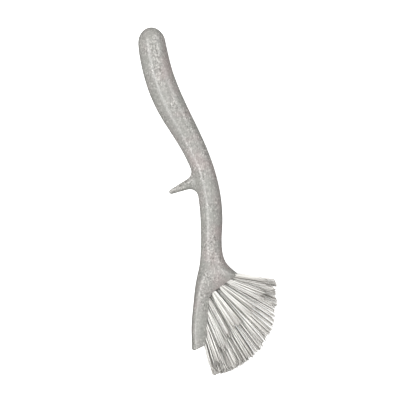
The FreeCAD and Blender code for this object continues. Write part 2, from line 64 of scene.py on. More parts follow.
# Sockets that share their name with others of the same node, by number.
MIX_FACTOR = 0
MIX_UNDER = 6
MIX_OVER = 7
MIX_COLOUR = 2
RANDOM_MOST = 3
RANDOM_NUMBER = 1


def linear(code: str) -> tuple[float, float, float, float]:
    """Turns an sRGB hex colour into linear values.

    Args:
        code: The colour as six hex digits after a hash sign.

    Returns:
        Red, green, blue and an alpha of 1.
    """
    shares = [int(code[place:place + 2], 16) / 255 for place in (1, 3, 5)]
    parts = [share / 12.92 if share <= 0.04045 else ((share + 0.055) / 1.055) ** 2.4
             for share in shares]
    return (parts[0], parts[1], parts[2], 1.0)


def add_node(tree: NodeTree, kind: str, settings: dict | None = None,
             values: dict | None = None, links: dict | None = None,
             stops: list[tuple[float, tuple]] | None = None) -> Node:
    """Adds one node to a tree.

    Args:
        tree: The material or geometry tree.
        kind: Blender's name of the node's type.
        settings: The node's own settings, by name.
        values: Values of its inputs, by socket name or number.
        links: Output sockets that feed its inputs, by socket name or number.
        stops: Pairs of a position and a linear colour, in rising order, for its colour ramp.

    Returns:
        The new node.
    """
    node = tree.nodes.new(kind)
    for name, value in (settings or {}).items():
        setattr(node, name, value)
    for socket, value in (values or {}).items():
        node.inputs[socket].default_value = value
    for socket, source in (links or {}).items():
        tree.links.new(source, node.inputs[socket])
    if stops:
        elements = node.color_ramp.elements
        while len(elements) < len(stops):
            elements.new(1.0)
        for element, (position, colour) in zip(elements, stops):
            element.position = position
            element.color = colour
    return node


def new_material(name: str) -> Material:
    """Makes an empty node material.

    Args:
        name: The material's name.

    Returns:
        The material, with no nodes in its tree.
    """
    material = bpy.data.materials.new(name)
    material.use_nodes = True
    material.node_tree.nodes.clear()
    return material


@dataclass(frozen=True)
class SpeckledComposite:
    """Moulded fibre-filled polypropylene: satin grey, its flecks drawn out by the flow."""

    # To the eye: a broad soft highlight on calm grey, broken by flecks in loose clusters. Real flecks
    # and grain are 0.1 to 0.3 mm, too fine for the render: both are drawn as coarse as they need to
    # show.
    name: str = "speckled_composite_moulded"
    base: str = "#A19F9B"
    warm: str = "#A69E9B"
    cool: str = "#9D9D98"
    light_fleck: str = "#D8D5D0"
    dark_fleck: str = "#6F6D69"
    tint_stops: tuple[float, float, float] = (0.36, 0.5, 0.64)
    patch_mm: float = 17.0
    cluster_mm: float = 11.0
    cluster_noise: tuple[float, float] = (0.4, 0.62)
    cluster_strength: tuple[float, float] = (0.36, 0.86)
    fleck_mm: float = 1.05
    fleck_stretch: float = 1.5
    fleck_roughness: float = 0.6
    light_edges: tuple[float, float] = (0.54, 0.66)
    dark_edges: tuple[float, float] = (0.46, 0.34)
    grain_mm: float = 0.5
    grain_depth_mm: float = 0.05
    grain_strength: float = 0.12
    roughness: float = 0.32
    roughness_fall: float = 0.06
    roughness_rise: float = 0.08
    ior: float = 1.49

    def build(self) -> Material:
        """Builds the material.

        Returns:
            A satin plastic with tint patches, clusters of flecks and a fine moulded grain.
        """
        material = new_material(self.name)
        tree = material.node_tree
        place = add_node(tree, "ShaderNodeTexCoord").outputs["Object"]
        drawn = add_node(tree, "ShaderNodeMapping", {}, {"Scale": (1.0, 1 / self.fleck_stretch, 1.0)},
                         {"Vector": place}).outputs["Vector"]
        flecks = add_node(tree, "ShaderNodeTexNoise", {},
                          {"Scale": 1 / (self.fleck_mm * MM), "Detail": 2.0,
                           "Roughness": self.fleck_roughness},
                          {"Vector": drawn}).outputs["Fac"]
        grain = add_node(tree, "ShaderNodeTexNoise", {},
                         {"Scale": 1 / (self.grain_mm * MM), "Detail": 2.0}, {"Vector": place})
        bump = add_node(tree, "ShaderNodeBump", {},
                        {"Strength": self.grain_strength, "Distance": self.grain_depth_mm * MM},
                        {"Height": grain.outputs["Fac"]})
        gloss = add_node(tree, "ShaderNodeMapRange", {},
                         {"To Min": self.roughness - self.roughness_fall,
                          "To Max": self.roughness + self.roughness_rise}, {"Value": flecks})
        shader = add_node(tree, "ShaderNodeBsdfPrincipled", {}, {"IOR": self.ior},
                          {"Base Color": self.speckle(tree, place, drawn, flecks),
                           "Roughness": gloss.outputs["Result"], "Normal": bump.outputs["Normal"]})
        add_node(tree, "ShaderNodeOutputMaterial", {}, {}, {"Surface": shader.outputs["BSDF"]})
        return material

    def speckle(self, tree: NodeTree, place: NodeSocket,
                drawn: NodeSocket, flecks: NodeSocket) -> NodeSocket:
        """Lays the light and the dark flecks on the tinted grey.

        Args:
            tree: The material's tree.
            place: The point on the handle.
            drawn: The same point in the space that the flow has drawn out.
            flecks: The noise that the flecks are cut from.

        Returns:
            The colour.
        """
        patches = add_node(tree, "ShaderNodeTexNoise", {},
                           {"Scale": 1 / (self.patch_mm * MM), "Detail": 2.0}, {"Vector": place})
        tints = [linear(code) for code in (self.cool, self.base, self.warm)]
        colour = add_node(tree, "ShaderNodeValToRGB", {}, {}, {"Fac": patches.outputs["Fac"]},
                          list(zip(self.tint_stops, tints))).outputs["Color"]
        clusters = add_node(tree, "ShaderNodeTexNoise", {},
                            {"Scale": 1 / (self.cluster_mm * MM), "Detail": 1.0}, {"Vector": drawn})
        amount = add_node(tree, "ShaderNodeMapRange", {},
                          {"From Min": self.cluster_noise[0], "From Max": self.cluster_noise[1],
                           "To Min": self.cluster_strength[0], "To Max": self.cluster_strength[1]},
                          {"Value": clusters.outputs["Fac"]})
        for edges, fleck in ((self.light_edges, self.light_fleck), (self.dark_edges, self.dark_fleck)):
            mask = add_node(tree, "ShaderNodeMapRange", {}, {"From Min": edges[0], "From Max": edges[1]},
                            {"Value": flecks})
            shown = add_node(tree, "ShaderNodeMath", {"operation": "MULTIPLY"}, {},
                             {0: mask.outputs["Result"], 1: amount.outputs["Result"]})
            colour = add_node(tree, "ShaderNodeMix", {"data_type": "RGBA"}, {MIX_OVER: linear(fleck)},
                              {MIX_FACTOR: shown.outputs[0], MIX_UNDER: colour}).outputs[MIX_COLOUR]
        return colour


@dataclass(frozen=True)
class NylonFilament:
    """Extruded nylon: off-white waxy filaments, each a little lighter or darker than the next."""

    # To the eye: pale streaks with a few dark filaments between them, greyer over the last third of each
    # filament towards its tip.
    name: str = "nylon_filament_extruded"
    pale: str = "#FBFAF6"
    plain: str = "#E6E3DE"
    deep: str = "#7C7873"
    tip: str = "#B8B4AF"
    shade_stops: tuple[float, float, float] = (0.12, 0.21, 0.52)
    tip_grey_from: float = 0.66
    tip_grey_share: float = 0.55
    roughness: float = 0.42
    ior: float = 1.53

    def build(self) -> Material:
        """Builds the material.

        Returns:
            A satin filament finish that reads each filament's own shade and the run to its tip.
        """
        material = new_material(self.name)
        tree = material.node_tree
        own = add_node(tree, "ShaderNodeAttribute", {"attribute_name": "filament_shade"})
        run = add_node(tree, "ShaderNodeAttribute", {"attribute_name": "filament_run"})
        shades = [linear(code) for code in (self.deep, self.plain, self.pale)]
        tone = add_node(tree, "ShaderNodeValToRGB", {}, {}, {"Fac": own.outputs["Fac"]},
                        list(zip(self.shade_stops, shades)))
        # Each filament turns greyer from two thirds of its run to its tip.
        tip_amount = add_node(tree, "ShaderNodeMapRange", {},
                        {"From Min": self.tip_grey_from, "From Max": 1.0, "To Max": self.tip_grey_share},
                        {"Value": run.outputs["Fac"]})
        colour = add_node(tree, "ShaderNodeMix", {"data_type": "RGBA"}, {MIX_OVER: linear(self.tip)},
                          {MIX_FACTOR: tip_amount.outputs["Result"], MIX_UNDER: tone.outputs["Color"]})
        shader = add_node(tree, "ShaderNodeBsdfPrincipled", {},
                          {"Roughness": self.roughness, "IOR": self.ior},
                          {"Base Color": colour.outputs[MIX_COLOUR]})
        add_node(tree, "ShaderNodeOutputMaterial", {}, {}, {"Surface": shader.outputs["BSDF"]})
        return material


@dataclass(frozen=True)
class DrawnSteel:
    """Flat drawn stainless wire: dull bright metal with draw lines along its length."""

    # To the eye: a dull metal gleam that is drawn out along the wire. The anchors are closed in by
    # their holes, so the draw lines keep a real spacing that is too fine for the render.
    name: str = "stainless_wire_drawn"
    colour: str = "#BDBDC0"
    line_mm: float = 0.1
    line_squeeze: float = 0.05
    line_depth_mm: float = 0.01
    line_strength: float = 0.1
    roughness: float = 0.34
    roughness_spread: float = 0.1

    def build(self) -> Material:
        """Builds the material.

        Returns:
            A metal whose draw lines run across the brush, as the anchors do.
        """
        material = new_material(self.name)
        tree = material.node_tree
        place = add_node(tree, "ShaderNodeTexCoord").outputs["Object"]
        drawn = add_node(tree, "ShaderNodeMapping", {}, {"Scale": (1.0, 1.0, self.line_squeeze)},
                         {"Vector": place})
        lines = add_node(tree, "ShaderNodeTexNoise", {},
                         {"Scale": 1 / (self.line_mm * MM), "Detail": 2.0},
                         {"Vector": drawn.outputs["Vector"]})
        gloss = add_node(tree, "ShaderNodeMapRange", {},
                         {"To Min": self.roughness - self.roughness_spread,
                          "To Max": self.roughness + self.roughness_spread},
                         {"Value": lines.outputs["Fac"]})
        bump = add_node(tree, "ShaderNodeBump", {},
                        {"Strength": self.line_strength, "Distance": self.line_depth_mm * MM},
                        {"Height": lines.outputs["Fac"]})
        shader = add_node(tree, "ShaderNodeBsdfPrincipled", {},
                          {"Base Color": linear(self.colour), "Metallic": 1.0},
                          {"Roughness": gloss.outputs["Result"], "Normal": bump.outputs["Normal"]})
        add_node(tree, "ShaderNodeOutputMaterial", {}, {}, {"Surface": shader.outputs["BSDF"]})
        return material


@dataclass(frozen=True)
class PaleFloor:
    """Matt white studio paper, lit from behind so that it stays white round the brush."""

    # To the eye: an even white with no edge and hardly any shadow.
    name: str = "studio_paper_matt"
    colour: str = "#F6F6F5"
    glow: float = 0.85
    roughness: float = 0.9
    specular: float = 0.1

    def build(self) -> Material:
        """Builds the material.

        Returns:
            A plain matt white that glows a little.
        """
        material = new_material(self.name)
        tree = material.node_tree
        white = linear(self.colour)
        shader = add_node(tree, "ShaderNodeBsdfPrincipled", {},
                          {"Base Color": white, "Roughness": self.roughness,
                           "Specular IOR Level": self.specular, "Emission Color": white,
                           "Emission Strength": self.glow})
        add_node(tree, "ShaderNodeOutputMaterial", {}, {}, {"Surface": shader.outputs["BSDF"]})
        return material


class Row(Enum):
    """The three kinds of tuft row, by their column's distance from the brush's middle."""

    CENTRE = 0
    MIDDLE = 1
    FLANK = 2


class Draw(Enum):
    """The random draws of a tuft that have a seed of their own, by its step from the tuft's seed."""

    SPIRAL = 3
    STRAY = 11
    SWAY = 19


@dataclass(frozen=True)
class TuftPlace:
    """One tuft's column, number from the heel, kind of row and place, in the frame's metres.

    The direction points along the tuft and across points over the brush. The turn is a quarter of
    the turn between the rows on its two sides, in radians.
    """

    letter: str
    number: int
    kind: Row
    root: Vector
    direction: Vector
    across: Vector
    turn: float


@dataclass
class BristleFace:
    """The hollow face that carries the tufts, in the maker's drawing sizes.

    The leans and the splay of the columns are in degrees.
    """

    heel: Vector = field(default_factory=lambda: Vector((18.4, -15.9, 0.0)))
    elbow: Vector = field(default_factory=lambda: Vector((-1.4, -29.9, 0.0)))
    toe: Vector = field(default_factory=lambda: Vector((-4.7, -66.4, 0.0)))
    elbow_radius: float = 8.7
    first_run: float = 2.2
    pitch: float = 5.6
    pitch_growth: float = 0.72
    heel_lean: float = 4.5
    elbow_lean: float = 58.0
    elbow_run: float = 22.5
    toe_lean: float = 75.5
    toe_run: float = 59.3
    column_pitch: float = 4.0
    column_splay: float = 0.9
    shift: Vector = field(default_factory=lambda: Vector((2.660, -36.332, 12.0)))

    def point_at(self, run: float) -> Vector:
        """Finds a point of the face line, seen from the flank.

        Args:
            run: The distance along the face from the heel corner.

        Returns:
            The point, in the drawing.
        """
        to_heel = (self.heel - self.elbow).normalized()
        to_toe = (self.toe - self.elbow).normalized()
        half = to_heel.angle(to_toe) / 2
        trim = self.elbow_radius / math.tan(half)
        straight = (self.heel - self.elbow).length - trim
        turn = math.pi - 2 * half
        if run <= straight:
            return self.heel - to_heel * run
        past = run - straight
        if past <= self.elbow_radius * turn:
            middle = (to_heel + to_toe).normalized()
            centre = self.elbow + middle * (self.elbow_radius / math.sin(half))
            angle = past / self.elbow_radius - turn / 2
            aside = UP.cross(middle)
            return centre - (middle * math.cos(angle) + aside * math.sin(angle)) * self.elbow_radius
        return self.elbow + to_toe * (trim + past - self.elbow_radius * turn)

    def lean_at(self, run: float) -> float:
        """Finds how far a tuft points below the level.

        Args:
            run: The distance along the face from the heel corner.

        Returns:
            The angle, in degrees.
        """
        if run < self.elbow_run:
            return self.heel_lean + (self.elbow_lean - self.heel_lean) * run / self.elbow_run
        share = (run - self.elbow_run) / (self.toe_run - self.elbow_run)
        return self.elbow_lean + (self.toe_lean - self.elbow_lean) * share

    def run_of(self, row: float) -> float:
        """Gives how far along the face from the heel a row stands."""
        return self.first_run + self.pitch * row + self.pitch_growth * row * (row - 1) / 2

    def place(self, letter: str, number: int, column: int, row: float) -> TuftPlace:
        """Places one tuft.

        Args:
            letter: The column's letter.
            number: The tuft's number from the heel, in its column.
            column: The column's number from the brush's middle, -2 to 2.
            row: The row's number from the heel, with halves in the staggered columns.

        Returns:
            The tuft's place.
        """
        run = self.run_of(row)
        lean = math.radians(self.lean_at(run))
        turn = math.radians(self.lean_at(self.run_of(row + 0.5)) - self.lean_at(self.run_of(row - 0.5)))
        splay = math.radians(column * self.column_splay)
        level = Vector((math.cos(lean), -math.sin(lean), 0.0))
        direction = level * math.cos(splay) + UP * math.sin(splay)
        across = UP * math.cos(splay) - level * math.sin(splay)
        root = self.point_at(run) + UP * (column * self.column_pitch)
        return TuftPlace(letter, number, Row(abs(column)), (root + self.shift) * MM, direction, across,
                         turn / 4)


@dataclass
class Tufts:
    """The bristle tufts: fanned bundles of filaments, trimmed to a rounded barrel."""

    face: BristleFace
    rows: int = 8
    # Real filaments are about 0.3 mm: fewer and thicker ones show as streaks in the render.
    filaments: int = 36
    filament_diameter: float = 0.58
    filament_sides: int = 5
    filament_points: int = 7
    # The bundle at the root, the grid that draws its filaments into strands, as a share of its
    # radius, the weight of that pull, and the slack of the spiral of filaments, in radians.
    root_radius: float = 1.2
    root_depth: float = 4.0
    strand: float = 0.5
    strand_pull: float = 0.5
    spiral_slack: float = 0.9
    # How each tuft swells above the face and spreads. Fan, flare and stray are slopes.
    belly: float = 2.2
    belly_power: float = 0.45
    flank_fan: float = 0.03
    inner_fan: float = 0.04
    edge_fan: float = 0.035
    flare: float = 0.04
    stray: float = 0.018
    bow: float = 0.5
    # What neighbouring filaments share: the clump's size, and its weight in wear and in shade.
    clump: float = 1.1
    clump_noise: tuple[float, float] = (0.28, 0.72)
    wear_shared: float = 0.75
    shade_shared: float = 0.12
    # Lengths and wear at the tips by kind of row, and the barrel that trims them all. The heel's
    # tufts reach a little past it.
    flank_length: float = 31.0
    inner_length: float = 60.0
    ragged: dict[Row, float] = field(
        default_factory=lambda: {Row.CENTRE: 1.4, Row.MIDDLE: 2.8, Row.FLANK: 6.0})
    heel_reach: dict[Row, float] = field(
        default_factory=lambda: {Row.CENTRE: 1.4, Row.MIDDLE: 0.6, Row.FLANK: 1.4})
    trim_centre: tuple[float, float, float] = (-5.4, -36.8, 0.0)
    trim_radius: float = 53.0
    trim_crown: float = 21.0
    trim_segments: int = 96
    trim_rings: int = 48
    longest_ray: float = 500.0
    seeds_per_column: int = 100

    def tree(self) -> NodeTree:
        """Builds the geometry tree of one tuft.

        Returns:
            A tree with named inputs for the tuft's place and sizes.
        """
        tree = bpy.data.node_groups.new("bristle_tuft", "GeometryNodeTree")
        tree.interface.new_socket("Geometry", in_out="OUTPUT", socket_type="NodeSocketGeometry")
        kinds = {"Filaments": "Int", "Root Point": "Vector", "Direction": "Vector", "Across": "Vector",
                 "Root Radius": "Float", "Strand": "Float", "Root Depth": "Float", "Belly": "Float",
                 "Fan": "Float", "Flare": "Float", "Stray": "Float", "Clump": "Float", "Bow": "Float",
                 "Length": "Float", "Ragged": "Float", "Filament Diameter": "Float",
                 "Trim Centre": "Vector", "Trim Radii": "Vector", "Seed": "Int", "Finish": "Material"}
        for name, kind in kinds.items():
            tree.interface.new_socket(name, in_out="INPUT", socket_type=f"NodeSocket{kind}")
        given = add_node(tree, "NodeGroupInput").outputs
        strands = self.lay_strands(tree, given)
        shaped = self.shape(tree, given, strands)
        radius = add_node(tree, "ShaderNodeMath", {"operation": "MULTIPLY"}, {1: 0.5},
                          {0: given["Filament Diameter"]})
        profile = add_node(tree, "GeometryNodeCurvePrimitiveCircle", {},
                           {"Resolution": self.filament_sides}, {"Radius": radius.outputs[0]})
        tubes = add_node(tree, "GeometryNodeCurveToMesh", {}, {"Fill Caps": True},
                         {"Curve": shaped, "Profile Curve": profile.outputs["Curve"]})
        smooth = add_node(tree, "GeometryNodeSetShadeSmooth", {}, {}, {"Geometry": tubes.outputs[0]})
        whole = add_node(tree, "GeometryNodeRealizeInstances", {}, {}, {"Geometry": smooth.outputs[0]})
        dressed = add_node(tree, "GeometryNodeSetMaterial", {}, {},
                           {"Geometry": whole.outputs[0], "Material": given["Finish"]})
        add_node(tree, "NodeGroupOutput", {}, {}, {"Geometry": dressed.outputs[0]})
        return tree

    def lay_strands(self, tree: NodeTree, given: NodeOutputs) -> NodeSocket:
        """Lays one unit line for each filament, with what its shape needs stored on it.

        Args:
            tree: The tuft's tree.
            given: The tree's inputs.

        Returns:
            The lines.
        """
        wide, deep = self.spread_disc(tree, given)
        disc = add_node(tree, "ShaderNodeVectorMath", {"operation": "ADD"}, {},
                        {0: wide, 1: deep}).outputs[0]
        heading = self.aim(tree, given, wide, deep)
        root = add_node(tree, "ShaderNodeVectorMath", {"operation": "MULTIPLY_ADD"}, {},
                        {0: disc, 1: given["Root Radius"], 2: given["Root Point"]}).outputs[0]
        clump, chance = self.clumps(tree, given, root)
        length = self.trim(tree, given, root, heading, self.weighed(tree, clump, chance, self.wear_shared))
        shade = self.weighed(tree, clump, chance, self.shade_shared)
        sway = add_node(tree, "FunctionNodeRandomValue", {"data_type": "FLOAT_VECTOR"},
                        {0: (-1.0, -1.0, -1.0), 1: (1.0, 1.0, 1.0)},
                        {"Seed": self.seed_for(tree, given, Draw.SWAY)})
        kept = {"root_at": ("FLOAT_VECTOR", root), "aim": ("FLOAT_VECTOR", heading),
                "disc": ("FLOAT_VECTOR", disc), "sway": ("FLOAT_VECTOR", sway.outputs[0]),
                "reach": ("FLOAT", length), "filament_shade": ("FLOAT", shade)}
        points = add_node(tree, "GeometryNodePoints", {}, {}, {"Count": given["Filaments"]}).outputs[0]
        for name, (kind, source) in kept.items():
            points = add_node(tree, "GeometryNodeStoreNamedAttribute",
                              {"data_type": kind, "domain": "POINT"}, {"Name": name},
                              {"Geometry": points, "Value": source}).outputs[0]
        line = add_node(tree, "GeometryNodeCurvePrimitiveLine", {}, {"End": UP})
        steps = add_node(tree, "GeometryNodeResampleCurve", {}, {"Count": self.filament_points},
                         {"Curve": line.outputs[0]})
        copies = add_node(tree, "GeometryNodeInstanceOnPoints", {}, {},
                          {"Points": points, "Instance": steps.outputs[0]})
        return add_node(tree, "GeometryNodeRealizeInstances", {}, {},
                        {"Geometry": copies.outputs[0]}).outputs[0]

    def trim(self, tree: NodeTree, given: NodeOutputs, root: NodeSocket, heading: NodeSocket,
             wear: NodeSocket) -> NodeSocket:
        """Cuts each filament to its row's length, or to the barrel where that comes first.

        Args:
            tree: The tuft's tree.
            given: The tree's inputs.
            root: Each filament's root point.
            heading: Each filament's direction.
            wear: How worn each filament is, from 0 to 1.

        Returns:
            Each filament's length.
        """
        sphere = add_node(tree, "GeometryNodeMeshUVSphere", {},
                          {"Segments": self.trim_segments, "Rings": self.trim_rings, "Radius": 1.0})
        barrel = add_node(tree, "GeometryNodeTransform", {}, {},
                          {"Geometry": sphere.outputs["Mesh"], "Translation": given["Trim Centre"],
                           "Scale": given["Trim Radii"]})
        reach = add_node(tree, "GeometryNodeRaycast", {}, {"Ray Length": self.longest_ray * MM},
                         {"Target Geometry": barrel.outputs["Geometry"], "Source Position": root,
                          "Ray Direction": heading})
        shortest = add_node(tree, "ShaderNodeMath", {"operation": "MINIMUM"}, {},
                            {0: given["Length"], 1: reach.outputs["Hit Distance"]})
        tip_amount = add_node(tree, "ShaderNodeMath", {"operation": "MULTIPLY"}, {},
                        {0: given["Ragged"], 1: wear})
        return add_node(tree, "ShaderNodeMath", {"operation": "SUBTRACT"}, {},
                        {0: shortest.outputs[0], 1: tip_amount.outputs[0]}).outputs[0]

    @staticmethod
    def seed_for(tree: NodeTree, given: NodeOutputs, draw: Draw) -> NodeSocket:
        """Gives a random draw a seed of its own.

        Args:
            tree: The tuft's tree.
            given: The tree's inputs.
            draw: The draw.

        Returns:
            The seed.
        """
        return add_node(tree, "ShaderNodeMath", {"operation": "ADD"}, {1: float(draw.value)},
                        {0: given["Seed"]}).outputs[0]

    @staticmethod
    def weighed(tree: NodeTree, first: NodeSocket, second: NodeSocket, weight: float) -> NodeSocket:
        """Adds two values by weight.

        Args:
            tree: The tuft's tree.
            first: The value that gets the weight.
            second: The value that gets the rest.
            weight: The weight, from 0 to 1.

        Returns:
            The sum.
        """
        part = add_node(tree, "ShaderNodeMath", {"operation": "MULTIPLY"}, {1: 1 - weight}, {0: second})
        return add_node(tree, "ShaderNodeMath", {"operation": "MULTIPLY_ADD"}, {1: weight},
                        {0: first, 2: part.outputs[0]}).outputs[0]

    def clumps(self, tree: NodeTree, given: NodeOutputs,
               root: NodeSocket) -> tuple[NodeSocket, NodeSocket]:
        """Finds what each filament shares with its neighbours, and what is its own.

        Args:
            tree: The tuft's tree.
            given: The tree's inputs.
            root: Each filament's root point.

        Returns:
            A value from 0 to 1 that filaments of one clump share, and a random one.
        """
        scale = add_node(tree, "ShaderNodeMath", {"operation": "DIVIDE"}, {0: 1.0}, {1: given["Clump"]})
        noise = add_node(tree, "ShaderNodeTexNoise", {"noise_dimensions": "3D"}, {"Detail": 0.0},
                         {"Vector": root, "Scale": scale.outputs[0]})
        clump = add_node(tree, "ShaderNodeMapRange", {},
                         {"From Min": self.clump_noise[0], "From Max": self.clump_noise[1]},
                         {"Value": noise.outputs[0]})
        chance = add_node(tree, "FunctionNodeRandomValue", {"data_type": "FLOAT"}, {},
                          {"Seed": given["Seed"]})
        return clump.outputs[0], chance.outputs[RANDOM_NUMBER]

    def spread_disc(self, tree: NodeTree, given: NodeOutputs) -> tuple[NodeSocket, NodeSocket]:
        """Spreads the filaments in strands over a disc of radius 1, square to the tuft.

        Args:
            tree: The tuft's tree.
            given: The tree's inputs.

        Returns:
            Each filament's offset from the tuft's axis, across the brush and along its face.
        """
        index = add_node(tree, "GeometryNodeInputIndex").outputs[0]
        middle = add_node(tree, "ShaderNodeMath", {"operation": "ADD"}, {1: 0.5}, {0: index})
        share = add_node(tree, "ShaderNodeMath", {"operation": "DIVIDE"}, {},
                         {0: middle.outputs[0], 1: given["Filaments"]})
        radius = add_node(tree, "ShaderNodeMath", {"operation": "SQRT"}, {}, {0: share.outputs[0]})
        loose = add_node(tree, "FunctionNodeRandomValue", {"data_type": "FLOAT"},
                         {RANDOM_MOST: self.spiral_slack},
                         {"Seed": self.seed_for(tree, given, Draw.SPIRAL)})
        angle = add_node(tree, "ShaderNodeMath", {"operation": "MULTIPLY_ADD"}, {1: GOLDEN_ANGLE},
                         {0: index, 2: loose.outputs[RANDOM_NUMBER]})
        second = add_node(tree, "ShaderNodeVectorMath", {"operation": "CROSS_PRODUCT"}, {},
                          {0: given["Direction"], 1: given["Across"]})
        parts = []
        for operation, axis in (("COSINE", given["Across"]), ("SINE", second.outputs[0])):
            turned = add_node(tree, "ShaderNodeMath", {"operation": operation}, {}, {0: angle.outputs[0]})
            amount = add_node(tree, "ShaderNodeMath", {"operation": "MULTIPLY"}, {},
                              {0: turned.outputs[0], 1: radius.outputs[0]})
            steps = add_node(tree, "ShaderNodeMath", {"operation": "DIVIDE"}, {},
                             {0: amount.outputs[0], 1: given["Strand"]})
            nearest = add_node(tree, "ShaderNodeMath", {"operation": "ROUND"}, {}, {0: steps.outputs[0]})
            strand = add_node(tree, "ShaderNodeMath", {"operation": "MULTIPLY"}, {},
                              {0: nearest.outputs[0], 1: given["Strand"]})
            drawn = self.weighed(tree, strand.outputs[0], amount.outputs[0], self.strand_pull)
            parts.append(add_node(tree, "ShaderNodeVectorMath", {"operation": "SCALE"}, {},
                                  {0: axis, "Scale": drawn}).outputs[0])
        return parts[0], parts[1]

    def aim(self, tree: NodeTree, given: NodeOutputs, wide: NodeSocket, deep: NodeSocket) -> NodeSocket:
        """Aims each filament along the tuft, flared outwards, with a little stray.

        Args:
            tree: The tuft's tree.
            given: The tree's inputs.
            wide: Each filament's offset across the brush.
            deep: Each filament's offset along the face.

        Returns:
            Each filament's direction, of length 1.
        """
        flared = add_node(tree, "ShaderNodeVectorMath", {"operation": "MULTIPLY_ADD"}, {},
                          {0: wide, 1: given["Flare"], 2: given["Direction"]})
        fanned = add_node(tree, "ShaderNodeVectorMath", {"operation": "MULTIPLY_ADD"}, {},
                          {0: deep, 1: given["Fan"], 2: flared.outputs[0]})
        chance = add_node(tree, "FunctionNodeRandomValue", {"data_type": "FLOAT_VECTOR"},
                          {0: (-1.0, -1.0, -1.0), 1: (1.0, 1.0, 1.0)},
                          {"Seed": self.seed_for(tree, given, Draw.STRAY)})
        strayed = add_node(tree, "ShaderNodeVectorMath", {"operation": "MULTIPLY_ADD"}, {},
                           {0: chance.outputs[0], 1: given["Stray"], 2: fanned.outputs[0]})
        return add_node(tree, "ShaderNodeVectorMath", {"operation": "NORMALIZE"}, {},
                        {0: strayed.outputs[0]}).outputs[0]

    def shape(self, tree: NodeTree, given: NodeOutputs, strands: NodeSocket) -> NodeSocket:
        """Moves each line's points on to its filament.

        Args:
            tree: The tuft's tree.
            given: The tree's inputs.
            strands: The filaments as unit lines.

        Returns:
            The filaments from the bottom of the hole to their own lengths, bellied just above the face.
        """
        run = add_node(tree, "GeometryNodeSplineParameter").outputs["Factor"]
        named = {}
        for name, kind in {"root_at": "FLOAT_VECTOR", "aim": "FLOAT_VECTOR", "disc": "FLOAT_VECTOR",
                           "sway": "FLOAT_VECTOR", "reach": "FLOAT"}.items():
            named[name] = add_node(tree, "GeometryNodeInputNamedAttribute", {"data_type": kind},
                                   {"Name": name}).outputs[0]
        # A filament runs straight in its hole, and on its own heading from the face to its tip.
        deep = add_node(tree, "ShaderNodeMath", {"operation": "MULTIPLY"}, {1: -1.0},
                        {0: given["Root Depth"]})
        along = add_node(tree, "ShaderNodeMapRange", {}, {},
                         {"Value": run, "To Min": deep.outputs[0], "To Max": named["reach"]})
        out = add_node(tree, "ShaderNodeMath", {"operation": "MAXIMUM"}, {1: 0.0},
                       {0: along.outputs[0]})
        sunk = add_node(tree, "ShaderNodeMath", {"operation": "MINIMUM"}, {1: 0.0},
                        {0: along.outputs[0]})
        ahead = add_node(tree, "ShaderNodeVectorMath", {"operation": "SCALE"}, {},
                         {0: named["aim"], "Scale": out.outputs[0]})
        behind = add_node(tree, "ShaderNodeVectorMath", {"operation": "SCALE"}, {},
                          {0: given["Direction"], "Scale": sunk.outputs[0]})
        # The belly is fullest near the face and gone at the tip, where the bow is largest.
        share = add_node(tree, "ShaderNodeMath", {"operation": "DIVIDE"}, {},
                         {0: out.outputs[0], 1: named["reach"]})
        early = add_node(tree, "ShaderNodeMath", {"operation": "POWER"}, {1: self.belly_power},
                         {0: share.outputs[0]})
        swell = add_node(tree, "ShaderNodeMath", {"operation": "SUBTRACT"}, {},
                         {0: early.outputs[0], 1: share.outputs[0]})
        bellied = add_node(tree, "ShaderNodeMath", {"operation": "MULTIPLY"}, {},
                           {0: swell.outputs[0], 1: given["Belly"]})
        aside = add_node(tree, "ShaderNodeVectorMath", {"operation": "SCALE"}, {},
                         {0: named["disc"], "Scale": bellied.outputs[0]})
        bend = add_node(tree, "ShaderNodeMath", {"operation": "MULTIPLY"}, {},
                        {0: share.outputs[0], 1: share.outputs[0]})
        bowed = add_node(tree, "ShaderNodeMath", {"operation": "MULTIPLY"}, {},
                         {0: bend.outputs[0], 1: given["Bow"]})
        swayed = add_node(tree, "ShaderNodeVectorMath", {"operation": "SCALE"}, {},
                          {0: named["sway"], "Scale": bowed.outputs[0]})
        position = named["root_at"]
        for part in (ahead, behind, aside, swayed):
            position = add_node(tree, "ShaderNodeVectorMath", {"operation": "ADD"}, {},
                                {0: position, 1: part.outputs[0]}).outputs[0]
        marked = add_node(tree, "GeometryNodeStoreNamedAttribute",
                          {"data_type": "FLOAT", "domain": "POINT"}, {"Name": "filament_run"},
                          {"Geometry": strands, "Value": run})
        return add_node(tree, "GeometryNodeSetPosition", {}, {},
                        {"Geometry": marked.outputs[0], "Position": position}).outputs[0]

    def places(self) -> list[TuftPlace]:
        """Lists every tuft's place.

        Returns:
            The places, column by column from the heel.
        """
        centre = (len(COLUMNS) - 1) // 2
        found = []
        for column, letter in enumerate(COLUMNS):
            staggered = column % 2 == 1
            count = self.rows - 1 if staggered else self.rows
            for index in range(count):
                row = index + 0.5 if staggered else float(index)
                found.append(self.face.place(letter, index + 1, column - centre, row))
        return found

